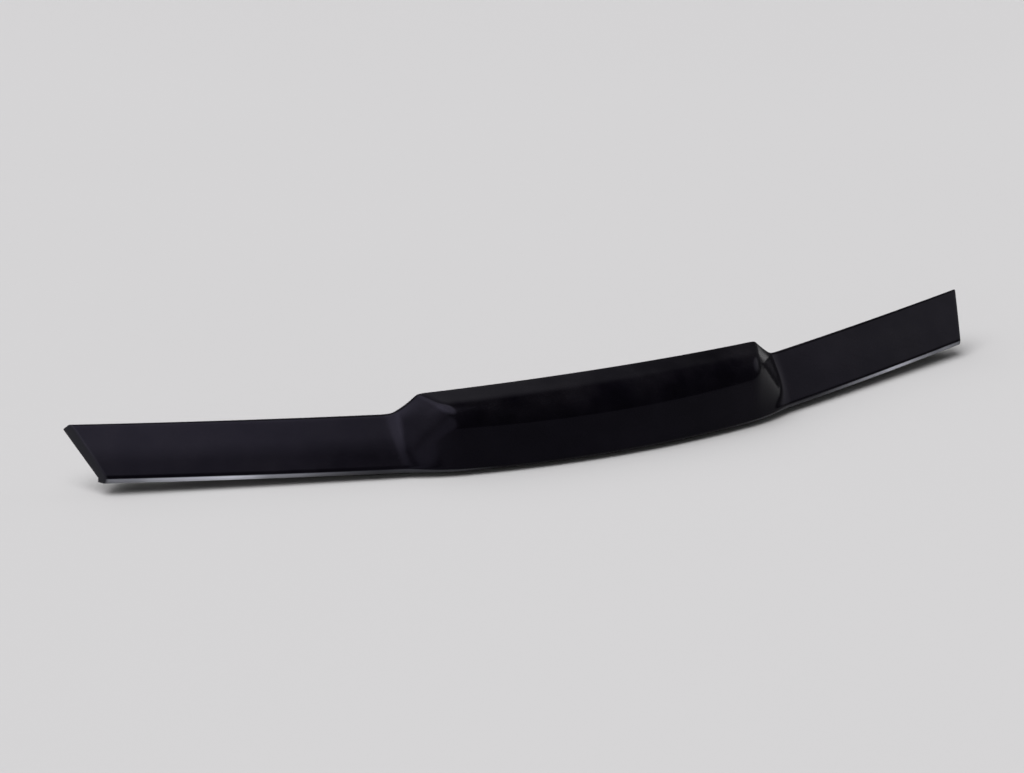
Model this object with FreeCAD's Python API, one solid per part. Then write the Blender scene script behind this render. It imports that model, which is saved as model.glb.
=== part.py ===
"""Hood bug deflector: a swept acrylic shield with the clips and bumpers that hold it to a hood's front edge.

X runs across the vehicle, Y rearwards and Z up. The origin is midway between the two middle holes, on the
underside of the return flange.
"""
import FreeCAD, Part
import math
import os

Vector = FreeCAD.Vector

# Sheet and its bends, in millimetres and degrees
wall = 3.0
bend_radius = 4.5
roll_radius = 4.5
roll_turn = 80.0
roll_length = 8.0

# Plan of the wings: a bow that straightens towards the ends
half_width = 452.0
hole_setback = 35.0
sweep_slope = 0.339
sweep_width = 91.0
end_lift = 7.8
end_slant = 0.47

# Wing face
face_run = 36.5
face_rise = 48.3
crown = 0.8
crown_reach = 9.0

# Raised middle
crease_x = 155.5
ramp_run = 41.5
crease_slant = 0.5
foot_slant = 0.1
nose_setback = 22.0
nose_low_radius = 700.0
nose_break_back = 2.7
nose_break_height = 57.9
nose_break_reach = 21.0
nose_height = 70.4
nose_top_run = 43.5
nose_top_radius = 849.0
nose_top_drop = 2.3
foot_round = 0.2

# Return flange and end flanges
flange_depth = 46.0
flange_trim_gap = 6.0
end_depth = 12.0
end_toe_depth = 4.0
end_wall = 3.0
end_round = 1.2

# Middle holes in the return flange
middle_hole_spacing = 80.0
middle_hole_radius = 3.25

# Clips, spread evenly from inside the crease to near the end
bracket_spaces = 2
bracket_crease_inset = 60.5
bracket_end_inset = 52.0
bracket_width = 18.0
bracket_wall = 1.5
bracket_bend = 2.0
bracket_tail = 8.0
bracket_web = 8.5
jaw_gap = 6.0
jaw_depth = 13.0
seat_gap = 0.05

# Screws, washers and nuts
screw_radius = 2.45
screw_hole_radius = 2.75
flange_hole_radius = 3.0
screw_tip = 1.5
screw_chamfer = 0.4
head_radius = 5.5
head_height = 2.8
head_edge = 1.0
head_crown = 1.9
recess_width = 1.0
recess_length = 5.0
recess_depth = 1.4
washer_radius = 6.5
washer_hole_radius = 2.7
washer_wall = 1.2
nut_across_flats = 8.0
nut_height = 5.0
nut_flange_radius = 5.75
nut_flange_height = 1.0
nut_bore_radius = 2.5

# Bumpers, spread evenly from beyond the ramp's foot to near the end
bumper_spaces = 2
bumper_foot_inset = 33.0
bumper_end_inset = 22.0
bumper_level = 0.78
bumper_base_radius = 8.0
bumper_top_radius = 6.2
bumper_height = 6.5
bumper_chamfer = 0.8

# How many spaces between sections each stretch of the sheet is lofted through
nose_spaces = 4
ramp_spaces = 2
foot_spaces = 2
wing_spaces = 4

foot_x = crease_x + ramp_run
through = 4 * wall
crossing_rounds = 30
touching = 0.001


def mix(start, end, share):
    return start + (end - start) * share


def bow(x):
    """How far back the plan curve has swept at x."""
    return sweep_slope * (math.hypot(x, sweep_width) - sweep_width)


def lift(x):
    """How far the lower edge has risen at x."""
    return end_lift * (x / half_width) ** 2


def wing_low(x):
    return Vector(x, bow(x) - hole_setback, lift(x))


def wing_break(x):
    lean = math.atan2(face_rise, face_run)
    middle = wing_low(x) + Vector(0, face_run, face_rise) / 2
    return middle + Vector(0, -math.sin(lean), math.cos(lean)) * crown


def wing_top(x):
    return wing_low(x) + Vector(0, face_run, face_rise)


def nose_low(x):
    return Vector(x, x * x / (2 * nose_low_radius) - nose_setback, lift(x))


def nose_break(x):
    return nose_low(x) + Vector(0, nose_break_back, nose_break_height)


def nose_top(x):
    y = x * x / (2 * nose_top_radius) - nose_setback + nose_top_run
    return Vector(x, y, nose_height - nose_top_drop * (x / crease_x) ** 2)


def flange_rear(x):
    return wing_low(x) + Vector(0, flange_depth, 0)


def crossing(line, low, slant):
    """Point of a line in the upright plane through low that leans outwards by slant as it runs back."""
    back = 0.0
    for _ in range(crossing_rounds):
        point = line(low.x + slant * back)
        back = point.y - low.y
    return point


def raised_share(x):
    """1 on the raised middle, 0 on the wing, straight down the ramp and rounded at its foot."""
    along = (abs(x) - crease_x) / (foot_x - crease_x)
    if along <= 1 - foot_round:
        return 1 - max(along, 0.0)
    return max(1 + foot_round - along, 0.0) ** 2 / (4 * foot_round)


def slant_at(x):
    """Outward lean, in plan, of the section plane at x."""
    size = abs(x)
    if size <= crease_x:
        slant = crease_slant * size / crease_x
    elif size <= foot_x:
        slant = mix(crease_slant, foot_slant, (size - crease_x) / (foot_x - crease_x))
    else:
        slant = mix(foot_slant, end_slant, (size - foot_x) / (half_width - foot_x))
    return math.copysign(slant, x)


def heading_at(x):
    """Plan angle of the sheet at x, from the X axis."""
    step = 4.0
    size = abs(x)
    before, after = [section_points(size + d)[1] for d in (-step, step)]
    return math.copysign(math.atan2(after.y - before.y, after.x - before.x), x)


def section_points(x):
    """Corners of the sheet's outer line at x: low, break, top and the rear of the return flange."""
    share = raised_share(x)
    slant = slant_at(x)
    low = mix(wing_low(x), nose_low(x), share)
    middle = mix(crossing(wing_break, low, slant), crossing(nose_break, low, slant), share)
    top = mix(crossing(wing_top, low, slant), crossing(nose_top, low, slant), share)
    return low, middle, top, crossing(flange_rear, low, slant)


class Section:
    """The sheet's profile in the upright section plane at x."""

    def __init__(self, x):
        slant = slant_at(x)
        self.low, middle, top, rear = section_points(x)
        self.back = Vector(slant, 1, 0).normalize()
        self.corners = [self.flat(rear), (0.0, 0.0), self.flat(middle), self.flat(top)]
        self.corners[0] = (self.corners[0][0], 0.0)
        self.face_angle = math.atan2(self.corners[3][1] - self.corners[2][1],
                                     self.corners[3][0] - self.corners[2][0])
        across = math.sin(self.face_angle) * math.sin(heading_at(x) + math.atan(slant))
        self.face_wall = wall / math.sqrt(1 - across ** 2)

    def flat(self, point):
        offset = point - self.low
        return (offset.dot(self.back), offset.z)

    def place(self, point):
        return self.low + self.back * point[0] + Vector(0, 0, point[1])

    def lip(self, length):
        turned = self.face_angle - math.radians(roll_turn)
        top = self.corners[3]
        return (top[0] + length * math.cos(turned), top[1] + length * math.sin(turned))

    def rounded(self, points, radii):
        """Edges along the points, with an arc at each inner point that has a radius."""
        edges = []
        start = points[0]
        for before, corner, after, radius in zip(points, points[1:], points[2:], radii):
            first, middle, last = fillet(before, corner, after, radius)
            edges.append(self.straight(start, first))
            edges.append(Part.Arc(self.place(first), self.place(middle), self.place(last)).toShape())
            start = last
        edges.append(self.straight(start, points[-1]))
        return edges

    def straight(self, start, end):
        return Part.LineSegment(self.place(start), self.place(end)).toShape()

    def radii(self, x):
        """Outer radii of the lower bend, the break and the roll."""
        half = half_angle(*self.corners[1:])
        reach = mix(crown_reach, nose_break_reach, raised_share(x))
        return [bend_radius, reach * math.tan(half), roll_radius]

    def sheet(self, x):
        """Closed wire round the whole profile."""
        outer = self.corners + [self.lip(roll_length)]
        inner = inset(outer, [wall] + 3 * [self.face_wall])
        inner_radii = [radius - wall for radius in self.radii(x)]
        edges = self.rounded(outer, self.radii(x)) + [self.straight(outer[-1], inner[-1])]
        edges += self.rounded(inner[::-1], inner_radii[::-1]) + [self.straight(inner[0], outer[0])]
        return Part.Wire(edges)

    def web_toe(self):
        """How far back the end flange reaches along the return flange."""
        reach = end_toe_depth / math.sin(self.face_angle) + 2 * wall / math.tan(self.face_angle)
        return reach * self.face_wall / wall

    def end_web(self, x):
        """Outer edges of the turned-down end flange, and the edges that close its outline."""
        toe = self.web_toe()
        outer = [(toe + wall, 0.0)] + self.corners[1:] + [self.lip(end_depth)]
        rest = [outer[-1], (toe, wall), (toe + wall, wall), outer[0]]
        closing = [self.straight(start, end) for start, end in zip(rest, rest[1:])]
        return self.rounded(outer, self.radii(x)), closing


def direction(start, end):
    length = math.dist(start, end)
    return ((end[0] - start[0]) / length, (end[1] - start[1]) / length)


def half_angle(before, corner, after):
    back = direction(corner, before)
    ahead = direction(corner, after)
    return math.acos(back[0] * ahead[0] + back[1] * ahead[1]) / 2


def fillet(before, corner, after, radius):
    """Start, middle and end of the arc that rounds a corner."""
    back = direction(corner, before)
    ahead = direction(corner, after)
    half = half_angle(before, corner, after)
    reach = radius / math.tan(half)
    bisector = direction((0, 0), (back[0] + ahead[0], back[1] + ahead[1]))
    depth = radius / math.sin(half) - radius
    return [tuple(corner[i] + way[i] * length for i in (0, 1))
            for way, length in ((back, reach), (bisector, depth), (ahead, reach))]


def inset(points, walls):
    """The points moved in by each run's wall, towards the right of the line."""
    lines = []
    for start, end, depth in zip(points, points[1:], walls):
        way = direction(start, end)
        lines.append(((start[0] + way[1] * depth, start[1] - way[0] * depth), way))
    moved = [lines[0][0]]
    for (a, u), (b, v) in zip(lines, lines[1:]):
        share = ((b[0] - a[0]) * v[1] - (b[1] - a[1]) * v[0]) / (u[0] * v[1] - u[1] * v[0])
        moved.append((a[0] + u[0] * share, a[1] + u[1] * share))
    way = lines[-1][1]
    end = points[-1]
    moved.append((end[0] + way[1] * walls[-1], end[1] - way[0] * walls[-1]))
    return moved


def loft(places):
    return Part.makeLoft([Section(x).sheet(x) for x in places], True, False)


def evenly(start, end, count):
    return [mix(start, end, i / count) for i in range(count + 1)]


def side_runs():
    """Section places of the ramp, its rounded foot and the wing."""
    round_start = mix(crease_x, foot_x, 1 - foot_round)
    round_end = mix(crease_x, foot_x, 1 + foot_round)
    return (evenly(crease_x, round_start, ramp_spaces), evenly(round_start, round_end, foot_spaces),
            evenly(round_end, half_width, wing_spaces))


def end_flange():
    """Turned-down end, its outer rim rounded."""
    outer, closing = Section(half_width).end_web(half_width)
    along = (wing_low(half_width + 1) - wing_low(half_width - 1)).normalize() * end_wall
    web = Part.Face(Part.Wire(outer + closing)).extrude(along)
    rim_centres = [edge.CenterOfMass + along for edge in outer[1:]]
    rim = [edge for edge in web.Edges
           if any(edge.CenterOfMass.distanceToPoint(centre) < touching for centre in rim_centres)]
    return web.makeFillet(end_round, rim)


def flange_trim():
    """Block that trims the return flange's outer corner at 45 degrees, behind the end flange."""
    section = Section(half_width)
    corner = section.place((section.web_toe() + flange_trim_gap, -through / 2))
    outward = corner + Vector(flange_depth, flange_depth, 0)
    rearward = corner + Vector(-flange_depth, flange_depth, 0) * 2
    return Part.Face(Part.makePolygon([corner, outward, rearward, corner])).extrude(Vector(0, 0, through))


def mirrored(shape):
    return shape.mirror(Vector(0, 0, 0), Vector(1, 0, 0))


def shield_blank():
    ramp, foot, wing = [loft(places) for places in side_runs()]
    side = ramp.fuse([foot, wing, end_flange()]).cut(flange_trim())
    nose = loft(evenly(-crease_x, crease_x, nose_spaces))
    return nose.fuse([side, mirrored(side)])


def sheet_span(shape, start, end):
    """Where a line from start to end enters and first leaves the sheet."""
    inside = shape.common(Part.makeLine(start, end))
    reaches = sorted(vertex.Point.distanceToPoint(start) for vertex in inside.Vertexes)
    way = (end - start).normalize()
    return start + way * reaches[0], start + way * reaches[1]


def frame(origin, across, up):
    """Placement with its X along across and its Z along up."""
    back = up.cross(across).normalize()
    across = back.cross(up).normalize()
    axes = FreeCAD.Matrix(across.x, back.x, up.x, origin.x, across.y, back.y, up.y, origin.y,
                          across.z, back.z, up.z, origin.z, 0, 0, 0, 1)
    return FreeCAD.Placement(axes)


def flange_seat(shape, x):
    """Placement on the return flange at x, and the flange's thickness there."""
    def span(across, along):
        place = Vector(x + across, bow(x) + along, lift(x))
        return sheet_span(shape, place - Vector(0, 0, through), place + Vector(0, 0, through))

    reach = bracket_width / 2
    bottom, top = span(0, 0)
    across = span(reach, bow(x + reach) - bow(x))[1] - span(-reach, bow(x - reach) - bow(x))[1]
    back = span(0, bracket_tail)[1] - span(0, -bracket_tail)[1]
    return frame(top, across, across.cross(back).normalize()), top.z - bottom.z


def face_seat(shape, x):
    """Placement on the back of the wing at x, with Z pointing away from the sheet."""
    along = (wing_low(x + 1) - wing_low(x - 1)).normalize() * bumper_base_radius
    up = (wing_top(x) - wing_low(x)).normalize() * bumper_base_radius
    inward = along.cross(up).normalize() * -through
    centre = mix(wing_low(x), wing_top(x), bumper_level)
    left, right, low, high = [sheet_span(shape, point - inward, point + inward)[1]
                              for point in (centre - along, centre + along, centre - up, centre + up)]
    return frame((low + high) / 2, right - left, (high - low).cross(right - left).normalize())


def bracket_places():
    first = crease_x - bracket_crease_inset
    return evenly(first, half_width - bracket_end_inset, bracket_spaces)


def bumper_places():
    first = foot_x + bumper_foot_inset
    return evenly(first, half_width - bumper_end_inset, bumper_spaces)


def upright(radius, height, base=0.0):
    return Part.makeCylinder(radius, height, Vector(0, 0, base))


def bracket():
    """Z-shaped clip: a tail on the flange, a web, and a leg over the hood's lip."""
    side = bracket_web
    high = jaw_gap + bracket_wall
    outline = [(bracket_tail, 0), (-side, 0), (-side, jaw_gap), (-side - jaw_depth, jaw_gap),
               (-side - jaw_depth, high), (-side + bracket_wall, high), (-side + bracket_wall, bracket_wall),
               (bracket_tail, bracket_wall)]
    points = [Vector(-bracket_width / 2, y, z + seat_gap) for y, z in outline]
    clip = Part.Face(Part.makePolygon(points + points[:1])).extrude(Vector(bracket_width, 0, 0))
    bends = {(-side, 0): bracket_bend, (-side + bracket_wall, high): bracket_bend,
             (-side, jaw_gap): bracket_bend - bracket_wall,
             (-side + bracket_wall, bracket_wall): bracket_bend - bracket_wall}
    for (y, z), radius in bends.items():
        edges = [edge for edge in clip.Edges if lies_at(edge, y, z + seat_gap)]
        clip = clip.makeFillet(radius, edges)
    return clip.cut(upright(screw_hole_radius, 2 * (seat_gap + bracket_wall)))


def lies_at(edge, y, z):
    """True for an edge along X at this y and z."""
    return all(math.dist((vertex.Y, vertex.Z), (y, z)) < touching for vertex in edge.Vertexes)


def turned(outline):
    """Solid turned round the Z axis from points given as radius and height."""
    points = [Vector(radius, 0, height) for radius, height in outline]
    face = Part.Face(Part.makePolygon(points + points[:1]))
    return face.revolve(Vector(0, 0, 0), Vector(0, 0, 1), 360)


def washer(thickness):
    base = -thickness - seat_gap - washer_wall
    return upright(washer_radius, washer_wall, base).cut(upright(washer_hole_radius, washer_wall, base))


def screw(thickness):
    """Pan-head screw, its head below the washer and its tip above the nut."""
    seat = -thickness - 2 * seat_gap - washer_wall
    tip = 2 * seat_gap + bracket_wall + nut_height + screw_tip
    crest = seat - head_height
    body = turned([(0, crest), (head_radius - head_crown, crest), (head_radius, seat - head_edge),
                   (head_radius, seat), (screw_radius, seat), (screw_radius, tip - screw_chamfer),
                   (screw_radius - screw_chamfer, tip), (0, tip)])
    for long, short in ((recess_length, recess_width), (recess_width, recess_length)):
        corner = Vector(-long / 2, -short / 2, crest)
        body = body.cut(Part.makeBox(long, short, recess_depth, corner))
    return body


def nut():
    """Flanged hexagon nut, its top corners turned off at 30 degrees."""
    base = 2 * seat_gap + bracket_wall
    flat = nut_across_flats / 2
    corners = [Vector(flat, flat * math.tan(math.pi / 6), base)]
    for _ in range(6):
        corners.append(FreeCAD.Rotation(Vector(0, 0, 1), 60).multVec(corners[-1]))
    body = Part.Face(Part.makePolygon(corners)).extrude(Vector(0, 0, nut_height))
    spread = flat + nut_height * math.tan(math.pi / 3)
    body = body.common(Part.makeCone(spread, flat, nut_height, Vector(0, 0, base)))
    body = body.fuse(upright(nut_flange_radius, nut_flange_height, base))
    return body.cut(upright(nut_bore_radius, base + nut_height + seat_gap))


def bumper():
    """Tapered rubber pad with a chamfered rim."""
    return turned([(0, seat_gap), (bumper_base_radius, seat_gap),
                   (bumper_top_radius, bumper_height - bumper_chamfer),
                   (bumper_top_radius - bumper_chamfer, bumper_height), (0, bumper_height)])


def placed(shape, placement):
    shape.Placement = placement.multiply(shape.Placement)
    return shape


def export(name, shape):
    shape.exportStep(os.path.join("parts", name + ".step"))


def both_sides(places):
    return [-x for x in reversed(places)] + places


def main():
    os.makedirs("parts", exist_ok=True)
    shield = shield_blank()
    for x in (-middle_hole_spacing / 2, middle_hole_spacing / 2):
        shield = shield.cut(Part.makeCylinder(middle_hole_radius, through, Vector(x, 0, -through / 2)))
    seats = [flange_seat(shield, x) for x in both_sides(bracket_places())]
    bumper_seats = [face_seat(shield, x) for x in both_sides(bumper_places())]
    for number, (seat, thickness) in enumerate(seats, 1):
        shield = shield.cut(placed(upright(flange_hole_radius, 2 * through, -through), seat))
        export(f"bracket_{number}", placed(bracket(), seat))
        export(f"washer_{number}", placed(washer(thickness), seat))
        export(f"screw_{number}", placed(screw(thickness), seat))
        export(f"nut_{number}", placed(nut(), seat))
    for number, seat in enumerate(bumper_seats, 1):
        export(f"bumper_{number}", placed(bumper(), seat))
    export("shield", shield)


main()
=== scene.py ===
"""Dresses a hood bug deflector: a gloss smoke-black shield, its clips, screws, nuts, washers and bumpers."""
import bmesh
import bpy
import math
from bpy.props import FloatProperty, FloatVectorProperty, PointerProperty
from mathutils import Matrix, Vector


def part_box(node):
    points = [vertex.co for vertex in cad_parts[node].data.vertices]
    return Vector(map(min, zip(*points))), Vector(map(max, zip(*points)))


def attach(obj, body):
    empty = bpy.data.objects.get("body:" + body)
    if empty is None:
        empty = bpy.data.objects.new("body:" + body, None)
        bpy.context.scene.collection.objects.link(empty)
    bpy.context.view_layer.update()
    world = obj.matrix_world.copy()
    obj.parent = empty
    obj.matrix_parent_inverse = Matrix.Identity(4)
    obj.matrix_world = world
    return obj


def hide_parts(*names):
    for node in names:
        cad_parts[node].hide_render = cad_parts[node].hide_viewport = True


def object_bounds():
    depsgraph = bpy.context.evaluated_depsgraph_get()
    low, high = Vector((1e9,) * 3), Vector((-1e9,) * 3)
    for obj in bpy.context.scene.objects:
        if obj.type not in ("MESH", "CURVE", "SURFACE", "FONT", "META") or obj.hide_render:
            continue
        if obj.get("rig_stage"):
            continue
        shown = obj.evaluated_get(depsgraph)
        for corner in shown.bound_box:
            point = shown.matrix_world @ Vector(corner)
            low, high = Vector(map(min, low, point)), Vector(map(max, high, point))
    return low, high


bl_info = {
    "name": "Hood deflector finish",
    "version": (1, 0, 0),
    "blender": (4, 5, 0),
    "location": "View3D > Sidebar > Deflector",
    "description": "Builds the finished look of a hood bug deflector round its packed model",
    "category": "Object",
}

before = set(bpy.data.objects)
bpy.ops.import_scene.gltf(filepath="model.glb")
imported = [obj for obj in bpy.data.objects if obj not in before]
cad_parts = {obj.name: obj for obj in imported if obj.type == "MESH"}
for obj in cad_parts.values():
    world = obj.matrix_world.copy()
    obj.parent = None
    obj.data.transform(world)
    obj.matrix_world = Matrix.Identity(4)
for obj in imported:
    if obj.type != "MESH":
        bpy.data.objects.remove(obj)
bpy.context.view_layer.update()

MM = 0.001
BODY = "root"
FIXINGS = range(1, 7)

# Edges that turn by more than the first are rounded, and flat ones that turn by less than the second are
# merged away. The shield and the screws are shaded smooth below limits of their own, and the rest below the
# first.
SHARP_DEGREES = 40.0
FLAT_DEGREES = 1.0
SHIELD_SMOOTH_DEGREES = 35.0
SCREW_SMOOTH_DEGREES = 32.0

# How near two points lie before they are joined: in a finished mesh, and in a turned one
MERGE_REACH = 0.002 * MM
TURNED_MERGE_REACH = 0.01 * MM

# Spacing of the grid on which points of the shield are looked up by their place
LOOKUP_GRID = 0.02 * MM

# Sides of the round holes and how many walls deep they are cut, sides of the screw's head, steps of its
# dome, and steps in a turn of its thread
HOLE_SIDES = 40
HOLE_WALLS = 6
HEAD_SIDES = 40
DOME_STEPS = 10
THREAD_STEPS = 28


def length(name, description, millimetres):
    return FloatProperty(name=name, description=description, default=millimetres * MM, unit="LENGTH",
                         precision=5)


def plain(name, description, value):
    return FloatProperty(name=name, description=description, default=value)


def angle(name, description, degrees):
    return FloatProperty(name=name, description=description, default=math.radians(degrees), subtype="ANGLE")


def colour(name, description, value):
    return FloatVectorProperty(name=name, description=description, default=value, size=3, subtype="COLOR",
                               min=0.0, max=1.0)


class ShieldSizes(bpy.types.PropertyGroup):
    """Sizes of the formed acrylic sheet."""

    wall: length("Wall", "Thickness of the sheet", 3.0)
    bend_radius: length("Bend radius", "Outer radius of the lower bend", 4.5)
    roll_radius: length("Roll radius", "Outer radius of the rolled upper edge", 4.5)
    roll_turn: angle("Roll turn", "How far the upper edge is rolled back", 80.0)
    roll_length: length("Roll length", "Straight part of the rolled edge, from its corner", 8.0)
    half_width: length("Half width", "From the middle to the lower corner of the end", 452.0)
    hole_setback: length("Hole setback", "From the lower bend back to the middle holes", 35.0)
    sweep_slope: plain("Sweep slope", "Slope that the wings tend to in plan", 0.339)
    sweep_width: length("Sweep width", "How wide the round middle of the bow is", 91.0)
    end_lift: length("End lift", "How far the lower edge rises to its ends", 7.8)
    end_slant: plain("End slant", "Outward lean of the ends in plan", 0.47)
    face_run: length("Face run", "How far back the wing's face leans", 36.5)
    face_rise: length("Face rise", "Height of the wing's face", 48.3)
    crown: length("Crown", "How far the wing's face swells", 0.8)
    crown_reach: length("Crown reach", "Length of face that the swelling rounds", 9.0)
    crease_x: length("Crease place", "From the middle to the crease of the raised nose", 155.5)
    crease_round: length("Crease rounding", "Half the width that the crease is rounded over", 5.5)
    ramp_run: length("Ramp run", "Width of the ramp from the crease to its foot", 41.5)
    foot_round: length("Foot rounding", "Half the width that the ramp's foot is rounded over", 8.3)
    crease_slant: plain("Crease slant", "Outward lean of the section at the crease", 0.5)
    foot_slant: plain("Foot slant", "Outward lean of the section at the ramp's foot", 0.1)
    nose_setback: length("Nose setback", "From the nose's lower edge back to the holes", 21.95)
    nose_low_radius: length("Nose low radius", "Plan radius of the nose's lower edge", 700.0)
    nose_break_back: length("Nose break back", "How far the nose's front leans back", 2.7)
    nose_break_height: length("Nose break height", "Height of the round break in the nose", 57.9)
    nose_break_reach: length("Nose break reach", "Length of face that the nose's break rounds", 21.0)
    nose_height: length("Nose height", "Height of the nose's upper edge", 70.38)
    nose_top_run: length("Nose top run", "From the nose's lower edge back to its top", 43.5)
    nose_top_radius: length("Nose top radius", "Plan radius of the nose's upper edge", 849.0)
    nose_top_drop: length("Nose top drop", "How far the nose's upper edge drops to its corners", 2.3)
    flange_depth: length("Flange depth", "Depth of the return flange", 46.0)
    flange_trim_gap: length("Flange trim gap", "From the end flange back to the trimmed corner", 6.0)
    end_depth: length("End depth", "Depth of the turned-down end at its top", 11.8)
    end_toe_depth: length("End toe depth", "Depth of the turned-down end at its toe", 4.0)
    end_wall: length("End wall", "Thickness of the turned-down end", 3.0)
    end_round: length("End rounding", "Radius between the face and the turned-down end", 1.2)
    edge_round: length("Edge rounding", "Radius of the polished trimmed edges", 0.5)
    # The next six sizes shape a highlight painted into the colour of the lower bend and of the turned-down
    # ends.
    highlight_nose: length("Pale nose", "From the middle to where the nose's lower bend stays black", 118.0)
    highlight_faint: plain("Pale faint", "How pale the lower bend looks past the nose's crease", 0.07)
    highlight_start: length("Pale start", "From the middle to where the lower bend begins to look paler", 225.0)
    highlight_full: length("Pale full", "From the middle to where the lower bend is palest", 350.0)
    highlight_end: plain("Pale end", "How pale the lower bend still is at the ends of the wings", 0.28)
    highlight_side: plain("Pale side", "How pale the turned-down ends look", 0.02)
    middle_hole_spacing: length("Hole spacing", "Between the two middle holes", 80.0)
    middle_hole_radius: length("Hole radius", "Radius of the two middle holes", 3.25)
    screw_hole_radius: length("Screw hole radius", "Radius of the clips' holes in the flange", 3.0)


class FixingSizes(bpy.types.PropertyGroup):
    """Sizes of the small hardware."""

    washer_wall: length("Washer wall", "Thickness of the nylon washers", 1.2)
    seat_gap: length("Seat gap", "Clearance between stacked pieces", 0.05)
    screw_radius: length("Screw radius", "Radius over the screw's thread", 2.45)
    thread_pitch: length("Thread pitch", "Rise of one turn of the thread", 0.8)
    thread_depth: length("Thread depth", "Depth of the thread", 0.42)
    shank_length: length("Shank length", "From the head's seat to the screw's tip", 12.5)
    head_radius: length("Head radius", "Radius of the screw's head", 5.4)
    head_height: length("Head height", "Height of the screw's head", 2.75)
    head_rim: length("Head rim", "Height of the straight side of the screw's head", 0.36)
    recess_radius: length("Recess radius", "Half the width of the cross recess", 2.5)
    recess_width: length("Recess width", "Width of each arm of the recess", 1.0)
    recess_depth: length("Recess depth", "Depth of the cross recess", 1.4)
    recess_taper: plain("Recess taper", "Share of its width that a recess arm keeps at its inner end", 0.62)
    screw_turn: angle("Screw turn", "How far each screw is turned past the one before it", 37.0)
    sheared_edge: length("Sheared edge", "Rounding left on the clips' edges", 0.22)
    turned_edge: length("Turned edge", "Rounding left on nuts and washers", 0.12)
    moulded_edge: length("Moulded edge", "Rounding of the bumpers' rims", 0.6)


class FinishColours(bpy.types.PropertyGroup):
    """Colours of the finishes."""

    acrylic: colour("Acrylic", "Deep colour of the smoke-black sheet", (0.0012, 0.0010, 0.0017))
    acrylic_haze: colour("Acrylic haze", "Lighter colour where the sheet is hazed", (0.0034, 0.0029, 0.0046))
    # Painted highlight: colour of the pale line of light painted along the lower bend, and faintly on the
    # turned-down ends.
    painted_bend_highlight: colour("Pale bend", "Light that the sheet gathers along its lower bend", (0.60, 0.62, 0.67))
    cut_acrylic: colour("Cut acrylic", "Colour of the trimmed edges", (0.030, 0.028, 0.032))
    zinc: colour("Zinc", "Colour of the plated clips", (0.60, 0.60, 0.57))
    zinc_shade: colour("Zinc shade", "Darker blooms in the plating", (0.42, 0.42, 0.41))
    steel: colour("Steel", "Colour of the screws and nuts", (0.66, 0.66, 0.67))
    steel_shade: colour("Steel shade", "Darker steel in the tool marks", (0.45, 0.45, 0.46))
    nylon: colour("Nylon", "Colour of the washers", (0.82, 0.81, 0.76))
    nylon_shade: colour("Nylon shade", "Yellower nylon", (0.74, 0.71, 0.62))
    rubber: colour("Rubber", "Colour of the bumpers", (0.022, 0.022, 0.023))
    rubber_bloom: colour("Rubber bloom", "Grey bloom on the rubber", (0.060, 0.060, 0.060))
    dust: colour("Dust", "Colour of the thin dust", (0.17, 0.16, 0.15))
    floor: colour("Floor", "Colour of the floor", (0.50, 0.505, 0.47))
    studio: colour("Studio", "Colour of the studio's light", (0.94, 0.92, 1.0))


class StageSettings(bpy.types.PropertyGroup):
    """Camera, light and floor."""

    lens: FloatProperty(name="Lens", description="Focal length of the camera", default=105.0, unit="CAMERA")
    roll: angle("Roll", "Turn of the camera about its view", -0.62)
    floor_reach: length("Floor reach", "Size of the floor", 24000.0)
    room_light: plain("Room light", "Strength of the plain light from all round", 0.10)


def fixings():
    return bpy.context.scene.deflector_fixings


def tones():
    return bpy.context.scene.deflector_tones


def mix(start, end, share):
    return start + (end - start) * share


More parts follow.
